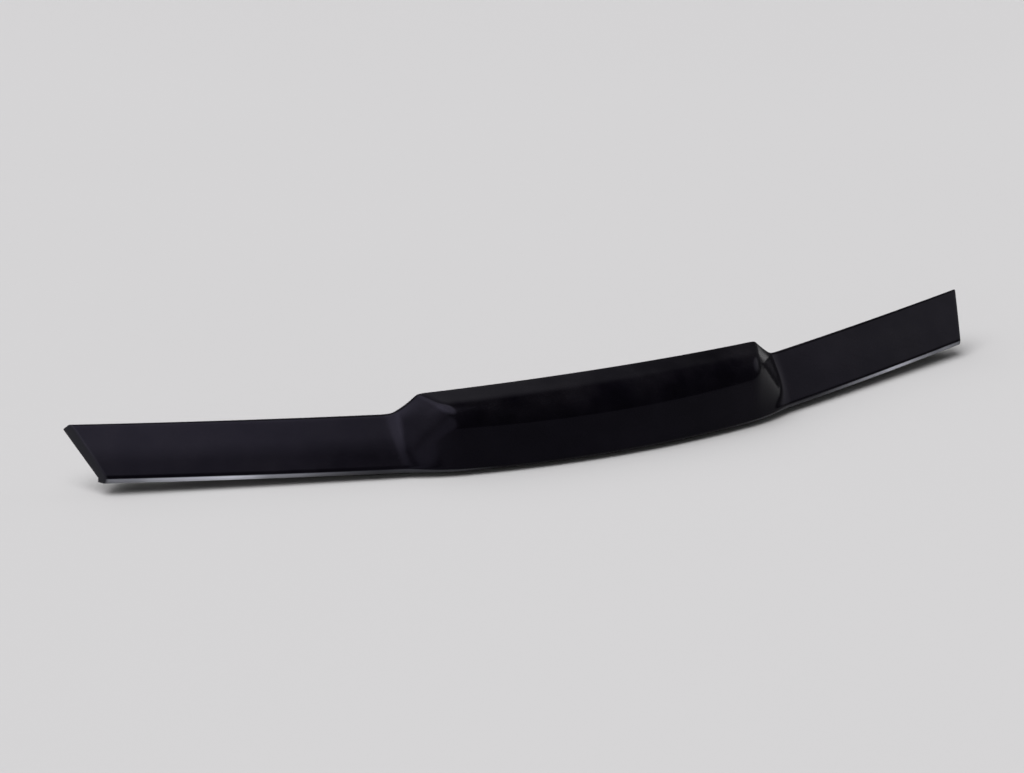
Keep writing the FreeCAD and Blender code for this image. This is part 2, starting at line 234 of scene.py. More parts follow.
class Sheet:
    """Plan, heights and blends of the formed sheet, worked out from its sizes."""

    def __init__(self, s):
        self.s = s
        self.foot_x = s.crease_x + s.ramp_run

    def bow(self, x):
        return self.s.sweep_slope * (math.hypot(x, self.s.sweep_width) - self.s.sweep_width)

    def lift(self, x):
        return self.s.end_lift * (x / self.s.half_width) ** 2

    def wing_low(self, x):
        return Vector((x, self.bow(x) - self.s.hole_setback, self.lift(x)))

    def wing_break(self, x):
        s = self.s
        lean = math.atan2(s.face_rise, s.face_run)
        middle = self.wing_low(x) + Vector((0, s.face_run, s.face_rise)) / 2
        return middle + Vector((0, -math.sin(lean), math.cos(lean))) * s.crown

    def wing_top(self, x):
        return self.wing_low(x) + Vector((0, self.s.face_run, self.s.face_rise))

    def nose_low(self, x):
        return Vector((x, x * x / (2 * self.s.nose_low_radius) - self.s.nose_setback, self.lift(x)))

    def nose_break(self, x):
        return self.nose_low(x) + Vector((0, self.s.nose_break_back, self.s.nose_break_height))

    def nose_top(self, x):
        s = self.s
        back = x * x / (2 * s.nose_top_radius) - s.nose_setback + s.nose_top_run
        return Vector((x, back, s.nose_height - s.nose_top_drop * (x / s.crease_x) ** 2))

    def flange_rear(self, x):
        return self.wing_low(x) + Vector((0, self.s.flange_depth, 0))

    def crossing(self, line, low, slant, rounds=30):
        """Point of a line in the upright plane through low that leans outwards by slant as it runs back."""
        back = 0.0
        for _ in range(rounds):
            point = line(low.x + slant * back)
            back = point.y - low.y
        return point

    def raised_share(self, x):
        """1 on the nose, 0 on the wing, straight down the ramp, rounded at its crease and its foot."""
        s = self.s
        past = abs(x) - s.crease_x
        if past <= -s.crease_round:
            return 1.0
        if past < s.crease_round:
            return 1 - (past + s.crease_round) ** 2 / (4 * s.crease_round * s.ramp_run)
        if past <= s.ramp_run - s.foot_round:
            return 1 - past / s.ramp_run
        return max(s.ramp_run + s.foot_round - past, 0.0) ** 2 / (4 * s.foot_round * s.ramp_run)

    def slant_at(self, x):
        s = self.s
        size = abs(x)
        if size <= s.crease_x:
            slant = s.crease_slant * size / s.crease_x
        elif size <= self.foot_x:
            slant = mix(s.crease_slant, s.foot_slant, (size - s.crease_x) / s.ramp_run)
        else:
            slant = mix(s.foot_slant, s.end_slant, (size - self.foot_x) / (s.half_width - self.foot_x))
        return math.copysign(slant, x)

    def corners(self, x):
        """Corners of the sheet's outer line at x: low, break, top and the rear of the return flange."""
        share = self.raised_share(x)
        slant = self.slant_at(x)
        low = mix(self.wing_low(x), self.nose_low(x), share)
        middle, top = [mix(self.crossing(wing, low, slant), self.crossing(nose, low, slant), share)
                       for wing, nose in ((self.wing_break, self.nose_break), (self.wing_top, self.nose_top))]
        return low, middle, top, self.crossing(self.flange_rear, low, slant)

    def heading_at(self, x, step=4 * MM):
        size = abs(x)
        before, after = [self.corners(size + d)[1] for d in (-step, step)]
        return math.copysign(math.atan2(after.y - before.y, after.x - before.x), x)


def direction(start, end):
    span = math.dist(start, end)
    return ((end[0] - start[0]) / span, (end[1] - start[1]) / span)


def angle_between(first, second):
    return math.acos(max(-1.0, min(1.0, first[0] * second[0] + first[1] * second[1])))


def moved_by(point, way, reach):
    return (point[0] + way[0] * reach, point[1] + way[1] * reach)


def right_of(way):
    return (way[1], -way[0])


def run(start, end, count):
    """Points from start up to, but not at, end."""
    return [tuple(mix(a, b, i / count) for a, b in zip(start, end)) for i in range(count)]


class Bend:
    """Arc that rounds one corner of a line."""

    def __init__(self, before, corner, after, radius):
        back = direction(corner, before)
        ahead = direction(corner, after)
        half = angle_between(back, ahead) / 2
        reach = radius / math.tan(half)
        way = direction((0, 0), (back[0] + ahead[0], back[1] + ahead[1]))
        self.start = moved_by(corner, back, reach)
        self.end = moved_by(corner, ahead, reach)
        self.centre = moved_by(corner, way, radius / math.sin(half))
        side = back[0] * ahead[1] - back[1] * ahead[0]
        self.sweep = math.copysign(math.pi - 2 * half, -side)

    def points(self, count):
        """Points of the arc up to, but not at, its end."""
        arm = (self.start[0] - self.centre[0], self.start[1] - self.centre[1])
        made = []
        for i in range(count):
            turn = self.sweep * i / count
            made.append((self.centre[0] + arm[0] * math.cos(turn) - arm[1] * math.sin(turn),
                         self.centre[1] + arm[0] * math.sin(turn) + arm[1] * math.cos(turn)))
        return made


def inset(points, walls):
    """The points moved in by each run's wall, towards the right of the line."""
    lines = []
    for start, end, depth in zip(points, points[1:], walls):
        way = direction(start, end)
        lines.append((moved_by(start, right_of(way), depth), way))
    moved = [lines[0][0]]
    for (a, u), (b, v) in zip(lines, lines[1:]):
        share = ((b[0] - a[0]) * v[1] - (b[1] - a[1]) * v[0]) / (u[0] * v[1] - u[1] * v[0])
        moved.append(moved_by(a, u, share))
    moved.append(moved_by(points[-1], right_of(lines[-1][1]), walls[-1]))
    return moved


# How far the last row of points lies from a trimmed edge
TRIM_REACH = 0.9 * MM

# Spans in each stretch of the profile
REAR_SPANS = 7
TOE_SPANS = 3
BEND_SPANS = 12
LOWER_FACE_SPANS = 10
BREAK_SPANS = 12
UPPER_FACE_SPANS = 7
ROLL_SPANS = 12
LIP_SPANS = 2

# How far apart the sections lie on the nose, at its crease, on the ramp, at its foot, on the wing and at
# the trimmed end
STATION_SPACINGS = [spacing * MM for spacing in (5.0, 0.8, 2.2, 1.5, 5.0, 1.6)]

# Places in the outer line: the toe of the end flange, and the low front of the lower bend, where a highlight
# is painted into the sheet's colour
TOE_INDEX = 1 + REAR_SPANS
PAINTED_HIGHLIGHT_RANGE = range(TOE_INDEX + TOE_SPANS + 1, TOE_INDEX + TOE_SPANS + BEND_SPANS * 3 // 4)


class Station:
    """The sheet's outer and inner lines in the upright section plane at x."""

    def __init__(self, sheet, x, trim=None):
        s = sheet.s
        slant = sheet.slant_at(x)
        self.low, middle, top, rear = sheet.corners(x)
        self.back = Vector((slant, 1, 0)).normalized()
        points = [self.flat(rear), (0.0, 0.0), self.flat(middle), self.flat(top)]
        lean = math.atan2(points[3][1] - points[2][1], points[3][0] - points[2][0])
        across = math.sin(lean) * math.sin(sheet.heading_at(x) + math.atan(slant))
        face_wall = s.wall / math.sqrt(1 - across ** 2)
        self.toe = (s.end_toe_depth / math.sin(lean) + 2 * s.wall / math.tan(lean)) * face_wall / s.wall
        if trim is not None:
            points[0] = (min(points[0][0], self.trimmed(trim)), 0.0)
        turned = lean - s.roll_turn
        lip, self.web_lip = [moved_by(points[3], (math.cos(turned), math.sin(turned)), reach)
                             for reach in (s.roll_length, s.end_depth)]
        outer = points + [lip]
        half = math.pi / 2 - angle_between(direction(*outer[1:3]), direction(*outer[2:4])) / 2
        reach = mix(s.crown_reach, s.nose_break_reach, sheet.raised_share(x))
        radii = [s.bend_radius, reach * math.tan(half), s.roll_radius]
        inner = inset(outer, [s.wall] + 3 * [face_wall])
        self.outer = self.line(outer, radii, self.toe + s.wall)
        self.inner = self.line(inner, [radius - s.wall for radius in radii], self.toe)

    def flat(self, point):
        offset = point - self.low
        return (offset.dot(self.back), offset.z)

    def place(self, point):
        return self.low + self.back * point[0] + Vector((0, 0, point[1]))

    def trimmed(self, trim):
        """Where the 45 degree trim of the flange's corner crosses this section."""
        lean = abs(self.back.x / self.back.y)
        back = (trim.x + trim.y - abs(self.low.x) - self.low.y) / (1 + lean)
        return back * math.hypot(1, lean)

    @staticmethod
    def line(points, radii, toe):
        """All points of one line, with its bends, from the flange's rear to the lip."""
        rear = points[0]
        bend, crown, roll = [Bend(*points[i:i + 3], radius) for i, radius in enumerate(radii)]
        near_rear = (rear[0] - TRIM_REACH, rear[1])
        lip = points[-1]
        way = direction(lip, roll.end)
        near_lip = moved_by(lip, way, TRIM_REACH)
        toe_point = (toe, rear[1])
        return ([rear] + run(near_rear, toe_point, REAR_SPANS) + run(toe_point, bend.start, TOE_SPANS)
                + bend.points(BEND_SPANS) + run(bend.end, crown.start, LOWER_FACE_SPANS)
                + crown.points(BREAK_SPANS) + run(crown.end, roll.start, UPPER_FACE_SPANS)
                + roll.points(ROLL_SPANS) + run(roll.end, near_lip, LIP_SPANS) + [near_lip, lip])

    def loop(self):
        """Places round the whole profile: the outer line, then the inner line backwards."""
        return [self.place(point) for point in self.outer + self.inner[::-1]]

    def bend_highlight_share(self, s):
        """Share of the highlight painted along the lower bend: 0 on the nose, faint past its crease, 1 past
        the wing's middle.
        """
        size = abs(self.low.x)
        if size > s.highlight_full:
            return mix(1.0, s.highlight_end, (size - s.highlight_full) / (s.half_width - s.highlight_full))
        faint = s.highlight_faint * min(1.0, max(0.0, (size - s.highlight_nose) / (s.crease_x - s.highlight_nose)))
        return mix(faint, 1.0, max(0.0, (size - s.highlight_start) / (s.highlight_full - s.highlight_start)) ** 2)


def station_places(sheet):
    """Section places across the whole width, close together where the sheet turns."""
    s = sheet.s
    marks = [0.0, s.crease_x - 2 * s.crease_round, s.crease_x + 2 * s.crease_round,
             sheet.foot_x - s.foot_round, sheet.foot_x + s.foot_round, s.half_width - s.flange_depth / 2,
             s.half_width]
    half = []
    for start, end, spacing in zip(marks, marks[1:], STATION_SPACINGS):
        count = math.ceil((end - start) / spacing)
        half += [mix(start, end, i / count) for i in range(count)]
    half.append(s.half_width)
    return [-x for x in reversed(half[1:])] + half


def deselect():
    if bpy.context.mode != "OBJECT":
        bpy.ops.object.mode_set(mode="OBJECT")
    bpy.ops.object.select_all(action="DESELECT")


def activate(obj):
    deselect()
    obj.select_set(True)
    bpy.context.view_layer.objects.active = obj


def edit(obj, *steps):
    """Runs each step on everything in the piece's mesh, in edit mode."""
    activate(obj)
    bpy.ops.object.mode_set(mode="EDIT")
    for step in steps:
        bpy.ops.mesh.select_all(action="SELECT")
        step()
    bpy.ops.object.mode_set(mode="OBJECT")


def merge():
    bpy.ops.mesh.remove_doubles(threshold=MERGE_REACH)


def outwards():
    bpy.ops.mesh.normals_make_consistent(inside=False)


def finish_with(obj, kind, **values):
    """Adds a modifier with its values and applies it."""
    activate(obj)
    modifier = obj.modifiers.new(kind.lower(), kind)
    for key, value in values.items():
        setattr(modifier, key, value)
    bpy.ops.object.modifier_apply(modifier=modifier.name)


def smooth(obj, degrees):
    activate(obj)
    bpy.ops.object.shade_smooth_by_angle(angle=math.radians(degrees))


def settle(obj):
    """Puts the piece's place into its mesh."""
    activate(obj)
    bpy.ops.object.transform_apply(location=True, rotation=True, scale=True)


def take(obj, name, node, material):
    """Names the piece, gives it its finish and stands it for its CAD node."""
    obj.name = name
    obj.data.name = name
    obj.data.materials.clear()
    obj.data.materials.append(material)
    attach(obj, BODY)
    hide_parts(node)


# Node helpers and shared effects

def give(tree, socket, value):
    """Links a value that is a node's output, and sets any other."""
    if isinstance(value, bpy.types.NodeSocket):
        tree.links.new(value, socket)
    elif socket.type == "RGBA":
        socket.default_value = (*value[:3], 1.0)
    else:
        socket.default_value = value


def add(tree, kind, values=None, **settings):
    """New node with its settings and, by socket name or number, its inputs."""
    made = tree.nodes.new(kind)
    for key, value in settings.items():
        setattr(made, key, value)
    for key, value in (values or {}).items():
        give(tree, made.inputs[key], value)
    return made


def maths(tree, operation, first, second, clamp=False):
    return add(tree, "ShaderNodeMath", {0: first, 1: second}, operation=operation, use_clamp=clamp).outputs[0]


def blend_colours(tree, share, first, second):
    return add(tree, "ShaderNodeMix", {0: share, 6: first, 7: second}, data_type="RGBA").outputs[2]


def ramp(tree, value, low, high, kind="LINEAR"):
    """Share of the way from low to high, held between 0 and 1."""
    return add(tree, "ShaderNodeMapRange", {"Value": value, "From Min": low, "From Max": high},
               interpolation_type=kind).outputs["Result"]


def product(tree, first, second, clamp=False):
    return maths(tree, "MULTIPLY", first, second, clamp)


def noise(tree, vector, scale, detail=3.0, roughness=0.5):
    return add(tree, "ShaderNodeTexNoise", {"Vector": vector, "Scale": scale, "Detail": detail,
                                            "Roughness": roughness}).outputs["Fac"]


def new_group(name, inputs, outputs):
    """Shader node group with its inputs' defaults, None for a vector, and its input and output nodes."""
    group = bpy.data.node_groups.new(name, "ShaderNodeTree")
    for socket, value in inputs.items():
        kind = "NodeSocketVector" if value is None else "NodeSocketFloat"
        made = group.interface.new_socket(socket, in_out="INPUT", socket_type=kind)
        if value is not None:
            made.default_value = value
    for socket in outputs:
        group.interface.new_socket(socket, in_out="OUTPUT", socket_type="NodeSocketFloat")
    return group, group.nodes.new("NodeGroupInput").outputs, group.nodes.new("NodeGroupOutput").inputs


# The scratches' two layers, each with its turn in radians and the scale of its noise, the scale of the
# patches they lie in, and the level of noise above which a scratch shows, with the softness of its edge
HAIRLINE_LAYERS = ((0.12, 900.0), (-0.35, 620.0))
HAIRLINE_PATCH_SCALE = 14.0
HAIRLINE_LEVEL = 0.78
HAIRLINE_SOFTNESS = 0.06

# How much finer a smudge's second noise is, and its share of the whole
SMUDGE_FINENESS = 7.3
SMUDGE_FINE_SHARE = 0.25

# Scales of the dust's specks and drifts, and the share of a drift that is an even film
SPECK_SCALE = 1500.0
DRIFT_SCALE = 22.0
DRIFT_FILM = 0.35


def hairline_group():
    """Fine scratches that run mostly one way, as wiping and washing leave them."""
    group, given, made = new_group("hairlines", {"Vector": None, "Density": 0.5, "Stretch": 30.0},
                                   ["Mask", "Height"])
    masks = []
    for turn, scale in HAIRLINE_LAYERS:
        turned = add(group, "ShaderNodeVectorRotate", {"Vector": given["Vector"], "Angle": turn},
                     rotation_type="Y_AXIS").outputs["Vector"]
        parts = add(group, "ShaderNodeSeparateXYZ", {"Vector": turned}).outputs
        squeezed = maths(group, "DIVIDE", parts["X"], given["Stretch"])
        vector = add(group, "ShaderNodeCombineXYZ", {"X": squeezed, "Y": parts["Y"], "Z": parts["Z"]})
        fine = noise(group, vector.outputs[0], scale, detail=1.0)
        patch = noise(group, given["Vector"], HAIRLINE_PATCH_SCALE, detail=2.0)
        edge = maths(group, "SUBTRACT", HAIRLINE_LEVEL, product(group, given["Density"], patch))
        masks.append(ramp(group, fine, edge, maths(group, "ADD", edge, HAIRLINE_SOFTNESS)))
    both = maths(group, "MAXIMUM", masks[0], masks[1])
    group.links.new(both, made["Mask"])
    group.links.new(product(group, both, -1.0), made["Height"])
    return group


def smudge_group():
    """Soft uneven film, such as dried rain, haze or bloom."""
    group, given, made = new_group("smudges", {"Vector": None, "Scale": 8.0, "Low": 0.42, "High": 0.66},
                                   ["Mask", "Waves"])
    broad = noise(group, given["Vector"], given["Scale"], detail=4.0, roughness=0.55)
    fine = noise(group, given["Vector"], product(group, given["Scale"], SMUDGE_FINENESS))
    both = maths(group, "ADD", product(group, broad, 1 - SMUDGE_FINE_SHARE),
                 product(group, fine, SMUDGE_FINE_SHARE))
    group.links.new(ramp(group, both, given["Low"], given["High"]), made["Mask"])
    group.links.new(noise(group, given["Vector"], given["Scale"], detail=1.0), made["Waves"])
    return group


def dust_group():
    """Specks of dust, thicker where the surface faces up."""
    group, given, made = new_group("dust", {"Vector": None, "Normal": None, "Amount": 0.5}, ["Mask"])
    up = add(group, "ShaderNodeSeparateXYZ", {"Vector": given["Normal"]}).outputs["Z"]
    specks = ramp(group, noise(group, given["Vector"], SPECK_SCALE, detail=1.0), low=0.60, high=0.70)
    drift = ramp(group, noise(group, given["Vector"], DRIFT_SCALE, detail=4.0), low=0.38, high=0.72)
    film = maths(group, "ADD", product(group, drift, DRIFT_FILM), product(group, specks, drift))
    amount = product(group, given["Amount"], ramp(group, up, low=0.05, high=0.95))
    group.links.new(product(group, film, amount, clamp=True), made["Mask"])
    return group


class Finish:
    """A material being built: its tree, its Principled shader and its place coordinates."""

    def __init__(self, name):
        self.material = bpy.data.materials.get(name) or bpy.data.materials.new(name)
        self.material.use_nodes = True
        self.tree = self.material.node_tree
        self.tree.nodes.clear()
        self.shader = add(self.tree, "ShaderNodeBsdfPrincipled")
        add(self.tree, "ShaderNodeOutputMaterial", {"Surface": self.shader.outputs[0]})
        self.place = add(self.tree, "ShaderNodeTexCoord").outputs["Object"]
        self.normal = add(self.tree, "ShaderNodeNewGeometry").outputs["Normal"]

    def effect(self, name, **values):
        return add(self.tree, "ShaderNodeGroup", {"Vector": self.place, **values},
                   node_tree=bpy.data.node_groups[name]).outputs

    def feed(self, socket, value):
        give(self.tree, self.shader.inputs[socket], value)

    def bump(self, height, strength, millimetres, before=None):
        values = {"Height": height, "Strength": strength, "Distance": millimetres * MM}
        if before is not None:
            values["Normal"] = before
        return add(self.tree, "ShaderNodeBump", values).outputs["Normal"]

    def sum_of(self, base, *terms):
        """Base plus each mask times its weight."""
        total = base
        for mask, weight in terms:
            total = maths(self.tree, "ADD", product(self.tree, mask, weight), total)
        return total


def acrylic_finish():
    finish = Finish("smoke_acrylic")
    tree = finish.tree
    tone = tones()
    haze = finish.effect("smudges", Scale=6.0, Low=0.40, High=0.68)
    waves = finish.effect("smudges", Scale=9.0)["Waves"]
    lines = finish.effect("hairlines", Density=0.30, Stretch=40.0)
    dust = finish.effect("dust", Normal=finish.normal, Amount=0.05)["Mask"]
    cut = add(tree, "ShaderNodeAttribute", attribute_name="cut_edge").outputs["Fac"]
    # Painted highlight along the lower bend, broken up by soft clouds and mixed into the base colour below
    pale = add(tree, "ShaderNodeAttribute", attribute_name="painted_bend_highlight").outputs["Fac"]
    cloudy = noise(tree, finish.place, scale=18.0, detail=2.0)
    pale = product(tree, pale, ramp(tree, cloudy, low=0.05, high=0.50))
    sawn = noise(tree, finish.place, scale=1400.0, detail=2.0)
    body = blend_colours(tree, haze["Mask"], tone.acrylic, tone.acrylic_haze)
    body = blend_colours(tree, dust, body, tone.dust)
    body = blend_colours(tree, pale, body, tone.painted_bend_highlight)
    finish.feed("Base Color", blend_colours(tree, cut, body, tone.cut_acrylic))
    finish.feed("Roughness", finish.sum_of(0.10, (haze["Mask"], 0.04), (lines["Mask"], 0.10), (dust, 0.9),
                                           (cut, 0.24)))
    finish.feed("IOR", 1.49)
    finish.feed("Specular IOR Level", 0.07)
    finish.feed("Specular Tint", (0.80, 0.76, 1.0))
    gentle = finish.bump(waves, strength=0.10, millimetres=2.0)
    scored = finish.bump(lines["Height"], strength=0.06, millimetres=0.02, before=gentle)
    finish.feed("Normal", finish.bump(product(tree, sawn, cut), strength=0.35, millimetres=0.10,
                                      before=scored))
    return finish.material


def metal_finish(name, bright, shade, rough, smudge_scale, line_density):
    finish = Finish(name)
    tree = finish.tree
    bloom = finish.effect("smudges", Scale=smudge_scale, Low=0.40, High=0.62)
    lines = finish.effect("hairlines", Density=line_density, Stretch=12.0)
    dust = finish.effect("dust", Normal=finish.normal, Amount=0.35)["Mask"]
    body = blend_colours(tree, bloom["Mask"], bright, shade)
    finish.feed("Base Color", blend_colours(tree, dust, body, tones().dust))
    finish.feed("Metallic", maths(tree, "SUBTRACT", 1.0, dust, clamp=True))
    finish.feed("Roughness", finish.sum_of(rough, (bloom["Mask"], 0.14), (lines["Mask"], 0.12), (dust, 0.5)))
    gentle = finish.bump(bloom["Waves"], strength=0.15, millimetres=0.10)
    finish.feed("Normal", finish.bump(lines["Height"], strength=0.25, millimetres=0.02, before=gentle))
    return finish.material


def moulded_finish(name, body, shade, rough, grain_scale, grain_depth, dust_amount):
    finish = Finish(name)
    tree = finish.tree
    bloom = finish.effect("smudges", Scale=90.0, Low=0.40, High=0.66)
    dust = finish.effect("dust", Normal=finish.normal, Amount=dust_amount)["Mask"]
    grain = noise(tree, finish.place, grain_scale, detail=4.0, roughness=0.6)
    tint = blend_colours(tree, bloom["Mask"], body, shade)
    finish.feed("Base Color", blend_colours(tree, dust, tint, tones().dust))
    finish.feed("Roughness", finish.sum_of(rough, (bloom["Mask"], 0.10), (dust, 0.3)))
    finish.feed("Normal", finish.bump(grain, strength=0.30, millimetres=grain_depth))
    return finish.material


def finishes():
    """All materials by slot name, made once."""
    if not bpy.data.node_groups.get("hairlines"):
        hairline_group()
        smudge_group()
        dust_group()
        tone = tones()
        acrylic_finish()
        metal_finish("zinc_steel", tone.zinc, tone.zinc_shade, rough=0.30, smudge_scale=120.0,
                     line_density=0.42)
        metal_finish("bright_steel", tone.steel, tone.steel_shade, rough=0.20, smudge_scale=260.0,
                     line_density=0.46)
        moulded_finish("nylon", tone.nylon, tone.nylon_shade, rough=0.38, grain_scale=2600.0,
                       grain_depth=0.03, dust_amount=0.15)
        moulded_finish("rubber", tone.rubber, tone.rubber_bloom, rough=0.62, grain_scale=2200.0,
                       grain_depth=0.06, dust_amount=0.55)
    return bpy.data.materials


class DEFLECTOR_OT_shield(bpy.types.Operator):
    """Forms the acrylic shield, with its nose, ramps, rolled edge, turned-down ends and holes"""

    bl_idname = "deflector.shield"
    bl_label = "Shield"

    def execute(self, context):
        s = context.scene.deflector_shield
        sheet = Sheet(s)
        end = Station(sheet, s.half_width)
        trim = end.place((end.toe + s.flange_trim_gap, 0.0))
        stations = [Station(sheet, x, trim) for x in station_places(sheet)]
        obj = self.skin(stations)
        self.close_ends(obj, sheet, stations)
        edit(obj, outwards)
        finish_with(obj, "BEVEL", limit_method="WEIGHT", width=s.end_round, segments=4,
                    use_clamp_overlap=False)
        self.drill(obj, s)
        edit(obj, merge, outwards)
        smooth(obj, SHIELD_SMOOTH_DEGREES)
        take(obj, "deflector_shield", "shield", finishes()["smoke_acrylic"])
        return {"FINISHED"}

    def skin(self, stations):
        """A grid rolled up into the sheet: one row for each station, one column for each profile point."""
        loops = [station.loop() for station in stations]
        around = len(loops[0])
        deselect()
        bpy.ops.mesh.primitive_grid_add(x_subdivisions=len(stations) - 1, y_subdivisions=around, size=1.0)
        obj = bpy.context.object
        for vertex in obj.data.vertices:
            row = round((vertex.co.x + 0.5) * (len(stations) - 1))
            column = round((vertex.co.y + 0.5) * around) % around
            vertex.co = loops[row][column]
        edit(obj, merge)
        return obj

    def close_ends(self, obj, sheet, stations):
        """Adds the turned-down ends and marks the edges to be rounded, the trimmed faces, and the highlight
        painted on the lower bend and the ends.
        """
        s = sheet.s
        mesh = bmesh.new()
        mesh.from_mesh(obj.data)
        weight = mesh.edges.layers.float.new("bevel_weight_edge")
        cut = mesh.verts.layers.float.new("cut_edge")
        pale = mesh.verts.layers.float.new("painted_bend_highlight")
        near = {self.key(v.co): v for v in mesh.verts}
        for station in stations:
            places = station.loop()
            lip = len(station.outer) - 1
            for index in (0, lip, lip + 1, len(places) - 1):
                near[self.key(places[index])][cut] = 1.0
            # Painted highlight: how strongly each point of the lower bend is painted pale
            for index in PAINTED_HIGHLIGHT_RANGE:
                near[self.key(places[index])][pale] = station.bend_highlight_share(s)
        rims = set()
        for side, station in ((-1, stations[0]), (1, stations[-1])):
            outer, inner = [[near[self.key(station.place(point))] for point in line]
                            for line in (station.outer, station.inner)]
            across = sheet.wing_low(s.half_width + MM) - sheet.wing_low(s.half_width - MM)
            along = Vector((side * across.x, across.y, across.z)).normalized() * s.end_wall
            for k in range(TOE_INDEX):
                mesh.faces.new((outer[k], outer[k + 1], inner[k + 1], inner[k]))
            tip = mesh.verts.new(station.place(station.web_lip))
            mesh.faces.new(inner[TOE_INDEX:] + [outer[-1], tip])
            ring = outer[TOE_INDEX:] + [tip, inner[TOE_INDEX]]
            raised = [mesh.verts.new(v.co + along) for v in ring]
            for k, vertex in enumerate(ring):
                after = (k + 1) % len(ring)
                mesh.faces.new((vertex, ring[after], raised[after], raised[k]))
                # Painted highlight: the turned-down ends are painted a little paler
                raised[k][pale] = s.highlight_side
            mesh.faces.new(raised)
            rims.update([tip] + raised[:-1])
        bmesh.ops.recalc_face_normals(mesh, faces=mesh.faces)
        small = s.edge_round / s.end_round
        for edge in mesh.edges:
            if edge.calc_face_angle(0.0) < math.radians(SHARP_DEGREES):
                continue
            edge[weight] = 1.0 if all(v in rims for v in edge.verts) else small
        mesh.to_mesh(obj.data)
        mesh.free()

    @staticmethod
    def key(place):
        return tuple(round(value / LOOKUP_GRID) for value in place)

    def drill(self, obj, s):
        """Cuts the two middle holes and the holes for the clips' screws."""
        holes = [(Vector((side * s.middle_hole_spacing / 2, 0, s.wall / 2)), s.middle_hole_radius)
                 for side in (-1, 1)]
        holes += [(washer_centre(i), s.screw_hole_radius) for i in FIXINGS]
        for centre, radius in holes:
            deselect()
            bpy.ops.mesh.primitive_cylinder_add(vertices=HOLE_SIDES, radius=radius,
                                                depth=HOLE_WALLS * s.wall, location=centre)
            cutter = bpy.context.object
            finish_with(obj, "BOOLEAN", operation="DIFFERENCE", object=cutter, solver="EXACT")
            bpy.data.objects.remove(cutter)


def node_centre(name):
    low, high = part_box(name)
    return (low + high) / 2


def washer_centre(number):
    return node_centre(f"washer_{number}")


def screw_axis(number):
    return (node_centre(f"nut_{number}") - washer_centre(number)).normalized()


def dressed_copy(node, rounding, segments):
    """Copy of a CAD node's mesh with its loose triangles merged and its edges rounded."""
    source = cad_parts[node]
    obj = source.copy()
    obj.data = source.data.copy()
    obj.parent = None
    for key in list(obj.keys()):
        if key.startswith("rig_"):
            del obj[key]
    bpy.context.scene.collection.objects.link(obj)
    if obj.data.has_custom_normals:
        activate(obj)
        bpy.ops.mesh.customdata_custom_splitnormals_clear()
    edit(obj, merge, lambda: bpy.ops.mesh.dissolve_limited(angle_limit=math.radians(FLAT_DEGREES)), outwards)
    finish_with(obj, "BEVEL", limit_method="ANGLE", angle_limit=math.radians(SHARP_DEGREES), width=rounding,
                segments=segments)
    smooth(obj, SHARP_DEGREES)
    return obj


class DressedKinds:
    """Dresses kinds of pieces, each given as its name, node, size of its rounding, segments and finish."""

    def execute(self, context):
        for i in FIXINGS:
            for name, node, rounding, segments, finish in self.kinds:
                obj = dressed_copy(f"{node}_{i}", getattr(fixings(), rounding), segments)
                take(obj, f"{name}_{i}", f"{node}_{i}", finishes()[finish])
        return {"FINISHED"}


class DEFLECTOR_OT_clips(DressedKinds, bpy.types.Operator):
    """Dresses the six plated clips, their sheared edges rounded"""

    bl_idname = "deflector.clips"
    bl_label = "Clips"
    kinds = (("clip", "bracket", "sheared_edge", 2, "zinc_steel"),)


class DEFLECTOR_OT_nuts(DressedKinds, bpy.types.Operator):
    """Dresses the flanged nuts and the nylon washers"""

    bl_idname = "deflector.nuts"
    bl_label = "Nuts and washers"
    kinds = (("flange_nut", "nut", "turned_edge", 2, "bright_steel"),
             ("nylon_washer", "washer", "turned_edge", 2, "nylon"))


class DEFLECTOR_OT_bumpers(DressedKinds, bpy.types.Operator):
    """Dresses the rubber bumpers, their rims rounded"""

    bl_idname = "deflector.bumpers"
    bl_label = "Bumpers"
    kinds = (("rubber_bumper", "bumper", "moulded_edge", 3, "rubber"),)


# One turn of the thread: shares of its pitch, and whether the outline lies on its crest there
THREAD_OUTLINE = ((0.0, False), (0.12, False), (0.45, True), (0.57, True), (0.90, False), (1.0, False))


